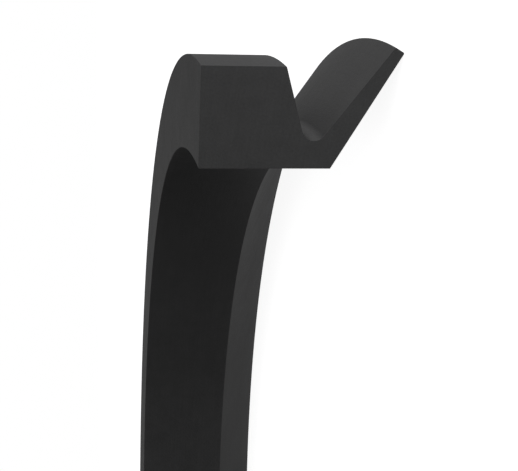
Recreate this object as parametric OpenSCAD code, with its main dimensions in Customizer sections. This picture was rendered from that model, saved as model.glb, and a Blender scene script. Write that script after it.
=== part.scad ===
// Rubber V-ring shaft seal, moulded in one piece: a body that grips the shaft,
// and a conical lip that bears on a face square to the shaft.
// The ring is opened by a sector cut through its axis, so that its section shows.
// Millimetres. +Z is the ring's axis. The ring lies on its lip, with its back face up.

/* [Ring] */
// Bore diameter of the free ring, before it is stretched over its shaft
bore_d = 76; // [60:0.5:100]
// Sector cut out of the ring in degrees; 0 gives the closed ring
cut_angle = 60; // [0:5:180]

/* [Body] */
// Height of the body, from the bore to its outside
body_h = 5.34; // [5:0.02:5.7]
// Width of the body along the bore, from the back face to the root of the lip
bore_w = 6.94; // [6.7:0.02:7.3]
// Width of the body along its outside, from the back face to the groove
top_w = 4.39; // [4.2:0.01:4.6]

/* [Lip] */
// Length of the lip's front face, from the bore to the tip
lip_l = 7.08; // [6.6:0.02:7.6]
// Lean of the lip's front face, from the radial direction
front_a = 30.1; // [28:0.1:32]
// Thickness of the lip at its tip, which is square to the front face
tip_t = 0.56; // [0.44:0.02:0.68]

/* [Groove] */
// Lean of the body's flank in the groove, from the radial direction
flank_a = 16.1; // [14:0.1:18]
// Rubber left under the groove, between its bottom and the bore
floor_t = 1.48; // [1.3:0.02:1.8]
// Radius at the bottom of the groove
groove_r = 0.66; // [0.5:0.02:0.8]

/* [Hidden] */
$fn = 180;
bore_r = bore_d / 2;

// The section is laid out as [distance along the axis from the back face,
// distance out from the bore].

// Root of the lip at the bore, and the two corners of the lip's tip
root = [bore_w, 0];
tip_front = root + lip_l * [sin(front_a), cos(front_a)];
tip_groove = tip_front + tip_t * [-cos(front_a), sin(front_a)];

// Body corner at the top of the groove, and the circle of the groove's bottom,
// which touches the flank that runs down from that corner
top = [top_w, body_h];
groove_y = floor_t + groove_r;
groove_c = [top_w + (groove_r + (body_h - groove_y) * sin(flank_a)) / cos(flank_a), groove_y];
touch_flank = groove_c - groove_r * [cos(flank_a), sin(flank_a)];

// The lip's groove face runs from its tip to where it touches the same circle
to_tip = tip_groove - groove_c;
touch_a = atan2(to_tip[1], to_tip[0]) - acos(groove_r / norm(to_tip));
touch_lip = groove_c + groove_r * [cos(touch_a), sin(touch_a)];

// Whole width of the ring, and a section point placed with the lip downwards
ring_w = tip_front[0];
function at(p) = [bore_r + p[1], ring_w - p[0]];

module section() {
    difference() {
        polygon([for (p = [[0, 0], [0, body_h], top, touch_flank, touch_lip,
                           tip_groove, tip_front, root]) at(p)]);
        translate(at(groove_c)) circle(r = groove_r);
    }
}

module v_ring() {
    color([0.2, 0.2, 0.205])
        rotate_extrude(angle = 360 - cut_angle) section();
}

v_ring();
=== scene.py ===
import math

import bpy
from mathutils import Matrix, Vector


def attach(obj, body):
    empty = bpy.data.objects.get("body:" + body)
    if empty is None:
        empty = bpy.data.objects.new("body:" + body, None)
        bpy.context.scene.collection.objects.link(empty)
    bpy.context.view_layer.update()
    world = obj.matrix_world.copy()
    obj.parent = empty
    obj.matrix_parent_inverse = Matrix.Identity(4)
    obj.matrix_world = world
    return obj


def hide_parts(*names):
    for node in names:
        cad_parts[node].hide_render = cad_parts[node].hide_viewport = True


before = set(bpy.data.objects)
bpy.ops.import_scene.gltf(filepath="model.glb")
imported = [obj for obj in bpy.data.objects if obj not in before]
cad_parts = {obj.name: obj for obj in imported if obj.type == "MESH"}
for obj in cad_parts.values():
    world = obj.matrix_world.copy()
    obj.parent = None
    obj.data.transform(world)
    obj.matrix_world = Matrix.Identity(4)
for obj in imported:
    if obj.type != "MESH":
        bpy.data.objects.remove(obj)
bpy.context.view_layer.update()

MM = 0.001

# ---------------------------------------------------------------- the ring's section, in millimetres
# Points are (distance from the axis, height above the floor), with the lip down.
BORE_R, BODY_H, BORE_W, TOP_W = 38.0, 5.34, 6.94, 4.39
LIP_L, FRONT_A, TIP_T = 7.08, math.radians(30.1), 0.56
FLANK_A, FLOOR_T, GROOVE_R = math.radians(16.1), 1.48, 0.66
KEPT_DEG = 300.0          # the ring runs from 0 to 300 degrees; the rest is cut out
EDGE_R = 0.045            # edges as they come out of the mould
TIP_R = 0.07              # the soft edges of the lip's tip

root = (BORE_W, 0.0)
tip_front = (BORE_W + LIP_L * math.sin(FRONT_A), LIP_L * math.cos(FRONT_A))
tip_groove = (tip_front[0] - TIP_T * math.cos(FRONT_A), tip_front[1] + TIP_T * math.sin(FRONT_A))
groove_y = FLOOR_T + GROOVE_R
groove_c = (TOP_W + (GROOVE_R + (BODY_H - groove_y) * math.sin(FLANK_A)) / math.cos(FLANK_A), groove_y)
RING_W = tip_front[0]


def meet_of_groove_faces():
    """Where the flank and the lip's groove face would meet if the groove had no radius."""
    dx, dy = tip_groove[0] - groove_c[0], tip_groove[1] - groove_c[1]
    a = math.atan2(dy, dx) - math.acos(GROOVE_R / math.hypot(dx, dy))
    touch = (groove_c[0] + GROOVE_R * math.cos(a), groove_c[1] + GROOVE_R * math.sin(a))
    tb = (tip_groove[0] - touch[0]) / (tip_groove[1] - touch[1])
    tf = math.tan(FLANK_A)
    y = (TOP_W - tip_groove[0] + BODY_H * tf + tip_groove[1] * tb) / (tf + tb)
    return (TOP_W + (BODY_H - y) * tf, y)


# Corner, its radius, and the steps round it. The loop runs with the rubber on its left.
CORNERS = [
    ((0.0, 0.0), EDGE_R, 5),
    (root, EDGE_R, 5),
    (tip_front, TIP_R, 6),
    (tip_groove, TIP_R, 6),
    (meet_of_groove_faces(), GROOVE_R, 26),
    ((TOP_W, BODY_H), EDGE_R, 5),
    ((0.0, BODY_H), EDGE_R, 5),
]


def rounded_section():
    """The section's outline as [(point, normal)], each (distance from the axis, height), with every corner rounded."""
    n = len(CORNERS)
    pts = [Vector((BORE_R + y, RING_W - x)) for (x, y), _, _ in CORNERS]
    area = sum(pts[i].x * pts[(i + 1) % n].y - pts[(i + 1) % n].x * pts[i].y for i in range(n))
    order = range(n) if area > 0 else range(n - 1, -1, -1)
    pts = [pts[i] for i in order]
    spec = [CORNERS[i][1:] for i in order]
    arcs = []
    for i in range(n):
        p, a, b = pts[i], pts[i - 1], pts[(i + 1) % n]
        rad, steps = spec[i]
        u, v = (a - p).normalized(), (b - p).normalized()
        half = math.acos(max(-1, min(1, u.dot(v)))) / 2
        c = p + (u + v).normalized() * (rad / math.sin(half))
        t0, t1 = p + u * (rad / math.tan(half)), p + v * (rad / math.tan(half))
        a0 = math.atan2(t0.y - c.y, t0.x - c.x)
        a1 = math.atan2(t1.y - c.y, t1.x - c.x)
        turn = (a1 - a0 + math.pi) % (2 * math.pi) - math.pi
        sign = 1.0 if turn > 0 else -1.0      # a hollow corner turns the other way
        arcs.append([(c + rad * Vector((math.cos(a0 + turn * k / steps), math.sin(a0 + turn * k / steps))),
                      sign * Vector((math.cos(a0 + turn * k / steps), math.sin(a0 + turn * k / steps))))
                     for k in range(steps + 1)])
    out = []
    for i in range(n):
        out += arcs[i]
        p0, n0 = arcs[i][-1]
        p1, n1 = arcs[(i + 1) % n][0]
        cuts = max(1, int(round((p1 - p0).length / 0.6)))
        for k in range(1, cuts):
            out.append((p0.lerp(p1, k / cuts), n0))
    return out


def make_ring():
    prof = rounded_section()
    m = len(prof)
    steps = 400
    verts, vnorm = [], []
    for j in range(steps + 1):
        t = math.radians(KEPT_DEG) * j / steps
        c, s = math.cos(t), math.sin(t)
        for p, nrm in prof:
            verts.append((p.x * c * MM, p.x * s * MM, p.y * MM))
            vnorm.append((nrm.x * c, nrm.x * s, nrm.y))
    faces = []
    for j in range(steps):
        for i in range(m):
            k = (i + 1) % m
            faces.append((j * m + k, j * m + i, (j + 1) * m + i, (j + 1) * m + k))
    sides = len(faces)
    faces.append(tuple(range(m)))                                   # cut face at 0 degrees
    faces.append(tuple(steps * m + i for i in range(m - 1, -1, -1)))  # cut face at 300 degrees
    mesh = bpy.data.meshes.new("v_ring_rubber")
    mesh.from_pydata(verts, [], faces)
    mesh.update()
    mesh.polygons.foreach_set("use_smooth", [True] * sides + [False, False])
    mesh.polygons.foreach_set("material_index", [0] * sides + [1, 1])
    rim = set()
    for f in (sides, sides + 1):
        vs = list(mesh.polygons[f].vertices)
        rim |= {tuple(sorted((vs[i], vs[(i + 1) % m]))) for i in range(m)}
    sharp = mesh.attributes.new("sharp_edge", "BOOLEAN", "EDGE")
    sharp.data.foreach_set("value", [tuple(sorted(e.vertices)) in rim for e in mesh.edges])
    loops = []
    for poly in mesh.polygons:
        flat = poly.index >= sides
        loops += [tuple(poly.normal) if flat else vnorm[v] for v in poly.vertices]
    mesh.normals_split_custom_set(loops)
    obj = bpy.data.objects.new("v_ring_rubber", mesh)
    bpy.context.scene.collection.objects.link(obj)
    return obj


# ---------------------------------------------------------------- materials
def new_material(name):
    mat = bpy.data.materials.new(name)
    mat.use_nodes = True
    tree = mat.node_tree
    tree.nodes.clear()
    out = tree.nodes.new("ShaderNodeOutputMaterial")
    bsdf = tree.nodes.new("ShaderNodeBsdfPrincipled")
    tree.links.new(bsdf.outputs["BSDF"], out.inputs["Surface"])
    return mat, tree, bsdf


class Nodes:
    """Short hands for building a node tree whose lengths are in millimetres of the ring's own space."""

    def __init__(self, tree):
        self.tree = tree
        coord = self.add("ShaderNodeTexCoord")
        self.place = self.add("ShaderNodeVectorMath")
        self.place.operation = "SCALE"
        self.link(coord.outputs["Object"], self.place.inputs[0])
        self.place.inputs["Scale"].default_value = 1000.0
        self.mm = self.place.outputs["Vector"]
        self.xyz = self.add("ShaderNodeSeparateXYZ")
        self.link(self.mm, self.xyz.inputs[0])

    def add(self, kind):
        return self.tree.nodes.new(kind)

    def link(self, a, b):
        self.tree.links.new(a, b)

    def put(self, value, socket):
        if isinstance(value, (int, float)):
            socket.default_value = value
        else:
            self.link(value, socket)

    def math(self, op, a, b=None, c=None):
        n = self.add("ShaderNodeMath")
        n.operation = op
        for i, v in enumerate((a, b, c)):
            if v is not None:
                self.put(v, n.inputs[i])
        return n.outputs[0]

    def noise(self, vector, size, detail=2.0, rough=0.5):
        """Noise of about -1 to 1, with features of about `size` millimetres."""
        n = self.add("ShaderNodeTexNoise")
        self.link(vector, n.inputs["Vector"])
        n.inputs["Scale"].default_value = 1.0 / size
        n.inputs["Detail"].default_value = detail
        n.inputs["Roughness"].default_value = rough
        return self.math("MULTIPLY_ADD", n.outputs["Fac"], 2.0, -1.0)

    def vector(self, x, y, z):
        n = self.add("ShaderNodeCombineXYZ")
        for i, v in enumerate((x, y, z)):
            self.put(v, n.inputs[i])
        return n.outputs[0]

    def total(self, *pairs):
        """The sum of value times weight."""
        out = None
        for value, weight in pairs:
            out = self.math("MULTIPLY", value, weight) if out is None else self.math("MULTIPLY_ADD", value, weight, out)
        return out


def rubber_material(name, tone, rough, cut):
    """Black rubber, matt and a little greyed. `cut` gives the face a blade leaves, and else the face a mould leaves."""
    mat, tree, bsdf = new_material(name)
    n = Nodes(tree)
    radius = n.math("SQRT", n.math("ADD", n.math("MULTIPLY", n.xyz.outputs["X"], n.xyz.outputs["X"]),
                                   n.math("MULTIPLY", n.xyz.outputs["Y"], n.xyz.outputs["Y"])))
    height = n.xyz.outputs["Z"]
    patches = n.noise(n.mm, 7.0, 2.0)                 # the compound, greyer in some places
    cloud = n.noise(n.mm, 1.1, 3.0, 0.55)
    grain = n.noise(n.mm, 0.13, 2.0, 0.6)             # the matt grain of the skin
    if cut:
        # a blade's straight marks, drawn across the section on a slight slant
        slant = n.math("MULTIPLY_ADD", radius, 0.16, height)
        marks = n.noise(n.vector(n.math("MULTIPLY", radius, 0.05), slant, 0.0), 0.16, 2.0, 0.6)
    else:
        # the mould's turning marks, which run round the ring
        marks = n.noise(n.vector(radius, height, n.math("ARCTAN2", n.xyz.outputs["Y"], n.xyz.outputs["X"])), 0.17, 2.0, 0.6)

    shade = n.total((patches, 0.10), (cloud, 0.12), (grain, 0.17), (marks, 0.08))
    mix = n.add("ShaderNodeMix")
    mix.data_type = "RGBA"
    n.link(n.math("MULTIPLY_ADD", shade, 1.0, 0.5), mix.inputs["Factor"])
    dark, light = 0.45 * tone, 1.55 * tone
    mix.inputs["A"].default_value = (dark, dark, dark * 1.01, 1)
    mix.inputs["B"].default_value = (light, light, light * 1.01, 1)
    n.link(mix.outputs["Result"], bsdf.inputs["Base Color"])

    gloss = n.total((patches, -0.03), (cloud, 0.06), (grain, 0.10))
    n.link(n.math("ADD", gloss, rough), bsdf.inputs["Roughness"])

    relief = n.total((grain, 1.0), (marks, 0.5 if cut else 0.35), (cloud, 0.8))
    bump = n.add("ShaderNodeBump")
    bump.inputs["Strength"].default_value = 1.0
    bump.inputs["Distance"].default_value = 0.0000060
    n.link(relief, bump.inputs["Height"])
    n.link(bump.outputs["Normal"], bsdf.inputs["Normal"])

    bsdf.inputs["Specular IOR Level"].default_value = 0.25
    bsdf.inputs["IOR"].default_value = 1.5
    return mat


# How the floor's painted glow lights the ring, as (distance from the ring's axis in millimetres, strength): painted
# light from below, under the lip, where the small steps light its front evenly, and round the ring, but not inside it,
# where the dark is painted shade standing for the ring's own shadow on the floor.
FLOOR_GLOW = [(33.5, 0.0), (35.5, 0.365), (37.5, 0.345), (39.0, 0.305), (40.0, 0.33), (41.5, 0.245), (43.5, 0.30), (46.0, 0.33),
              (60.0, 0.305), (75.0, 0.235), (110.0, 0.25)]
FLOOR_WHITE = 0.90


def floor_material():
    """White paper that photographs white; the ring sees instead a painted glow, a low, soft light from below, with
    painted shade inside the ring.
    """
    mat, tree, bsdf = new_material("floor_paper_painted_glow")
    bsdf.inputs["Base Color"].default_value = (0.8, 0.8, 0.8, 1)
    bsdf.inputs["Roughness"].default_value = 1.0
    bsdf.inputs["Specular IOR Level"].default_value = 0.0
    bsdf.inputs["Emission Color"].default_value = (1, 1, 1, 1)
    bsdf.inputs["Emission Strength"].default_value = FLOOR_WHITE
    # Rays other than the camera's see only this painted glow, set by the FLOOR_GLOW stops: painted light from below,
    # and painted shade inside the ring.
    glow = tree.nodes.new("ShaderNodeEmission")
    away = tree.nodes.new("ShaderNodeVectorMath")
    away.operation = "LENGTH"
    tree.links.new(tree.nodes.new("ShaderNodeTexCoord").outputs["Object"], away.inputs[0])
    far = FLOOR_GLOW[-1][0]
    part = tree.nodes.new("ShaderNodeMapRange")
    part.inputs["From Max"].default_value = far * MM
    tree.links.new(away.outputs["Value"], part.inputs["Value"])
    ramp = tree.nodes.new("ShaderNodeValToRGB")
    stops = ramp.color_ramp.elements
    while len(stops) < len(FLOOR_GLOW):
        stops.new(1.0)
    for stop, (place, strength) in zip(stops, FLOOR_GLOW):
        stop.position = place / far
        stop.color = (strength, strength, strength, 1)
    tree.links.new(part.outputs["Result"], ramp.inputs["Fac"])
    tree.links.new(ramp.outputs["Color"], glow.inputs["Strength"])
    seen = tree.nodes.new("ShaderNodeLightPath")
    pick = tree.nodes.new("ShaderNodeMixShader")
    tree.links.new(seen.outputs["Is Camera Ray"], pick.inputs[0])
    tree.links.new(glow.outputs[0], pick.inputs[1])
    tree.links.new(bsdf.outputs[0], pick.inputs[2])
    tree.links.new(pick.outputs[0], tree.nodes["Material Output"].inputs["Surface"])
    return mat


ring = make_ring()
ring.data.materials.append(rubber_material("rubber_moulded", 0.055, 0.50, False))
# The cut face's tone, 0.0605, is a tenth lighter than the moulded skin's: painted light that brightens the cut face.
# Its blade marks are the cut's own texture.
ring.data.materials.append(rubber_material("rubber_cut", 0.0605, 0.50, True))
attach(ring, "root")
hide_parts("v_ring")

# ---------------------------------------------------------------- stage
floor_mesh = bpy.data.meshes.new("floor")
SIDES, REACH = 96, 0.6
floor_mesh.from_pydata([(REACH * math.cos(2 * math.pi * i / SIDES), REACH * math.sin(2 * math.pi * i / SIDES), 0)
                        for i in range(SIDES)], [], [tuple(range(SIDES))])
floor = bpy.data.objects.new("floor", floor_mesh)
bpy.context.scene.collection.objects.link(floor)
floor_mesh.materials.append(floor_material())

# ---------------------------------------------------------------- light
# A white room that gives little light of its own, and soft boxes round the ring.
scene = bpy.context.scene
world = bpy.data.worlds.new("studio")
scene.world = world
world.use_nodes = True
room = world.node_tree.nodes["Background"]
room.inputs["Color"].default_value = (1, 1, 1, 1)
seen = world.node_tree.nodes.new("ShaderNodeLightPath")
white = world.node_tree.nodes.new("ShaderNodeMapRange")
world.node_tree.links.new(seen.outputs["Is Camera Ray"], white.inputs["Value"])
white.inputs["To Min"].default_value = 0.01
white.inputs["To Max"].default_value = 1.0
world.node_tree.links.new(white.outputs["Result"], room.inputs["Strength"])


def softbox(name, turn, rise, glow, size, away=0.7):
    """A square soft light `away` metres from the ring, `turn` degrees round from +X and `rise` degrees up."""
    data = bpy.data.lights.new(name, "AREA")
    data.shape = "SQUARE"
    data.size = size
    data.energy = math.pi * size * size * glow
    obj = bpy.data.objects.new(name, data)
    scene.collection.objects.link(obj)
    t, e = math.radians(turn), math.radians(rise)
    obj.location = away * Vector((math.cos(t) * math.cos(e), math.sin(t) * math.cos(e), math.sin(e)))
    obj.rotation_euler = (Vector((0, 0, 0.005)) - obj.location).to_track_quat("-Z", "Y").to_euler()
    obj.visible_camera = False
    return obj


# Three low panels side by side make one long key light on the side of +X and of the cut. Weak ones go on round from it.
# Larger panels all round fill in from above, with one overhead.
for turn, glow in {-60: 2.9, -30: 2.3, 0: 3.6, 30: 0.75, 60: 0.34, 90: 0.185, 120: 0.24, 180: 0.40}.items():
    softbox("panel_%03d" % (turn % 360), turn, 12, glow, 0.36)
for turn, glow in {-180: 0.16, -120: 0.22, -60: 0.22, 0: 0.30, 60: 0.16, 120: 0.20}.items():
    softbox("upper_%03d" % (turn % 360), turn, 42, glow, 0.5)
softbox("overhead", 0, 90, 0.22, 0.8)


# ---------------------------------------------------------------- camera
# It looks along the floor at the cut face from just above the ring, turned on its side: the ring's back face is to the left.
YAW, PITCH, ROLL = math.radians(9.450), math.radians(17.708), math.radians(2.479)
FOCAL_PX, WIDTH_PX = 1207.9, 518
EYE = Vector((53.771, -60.007, RING_W + 6.664)) * MM


def camera_axes():
    """Right, up and forward, first with the ring's axis to the right, then turned into the ring's frame."""
    f = Vector((math.sin(YAW), math.cos(YAW), 0))
    r = Vector((math.cos(YAW), -math.sin(YAW), 0))
    u = Vector((0, 0, 1))
    f, u = f * math.cos(PITCH) - u * math.sin(PITCH), f * math.sin(PITCH) + u * math.cos(PITCH)
    r, u = r * math.cos(ROLL) + u * math.sin(ROLL), u * math.cos(ROLL) - r * math.sin(ROLL)
    return [Vector((v.z, v.y, -v.x)) for v in (r, u, f)]


right, up, forward = camera_axes()
cam_data = bpy.data.cameras.new("camera")
cam_data.sensor_fit = "HORIZONTAL"
cam_data.sensor_width = 36.0
cam_data.lens = FOCAL_PX * 36.0 / WIDTH_PX
cam_data.clip_start = 0.002
cam_data.clip_end = 100.0
cam = bpy.data.objects.new("camera", cam_data)
scene.collection.objects.link(cam)
cam.matrix_world = Matrix((
    (right.x, up.x, -forward.x, EYE.x),
    (right.y, up.y, -forward.y, EYE.y),
    (right.z, up.z, -forward.z, EYE.z),
    (0, 0, 0, 1)))
scene.camera = cam

scene.view_settings.view_transform = "Standard"
scene.view_settings.look = "None"
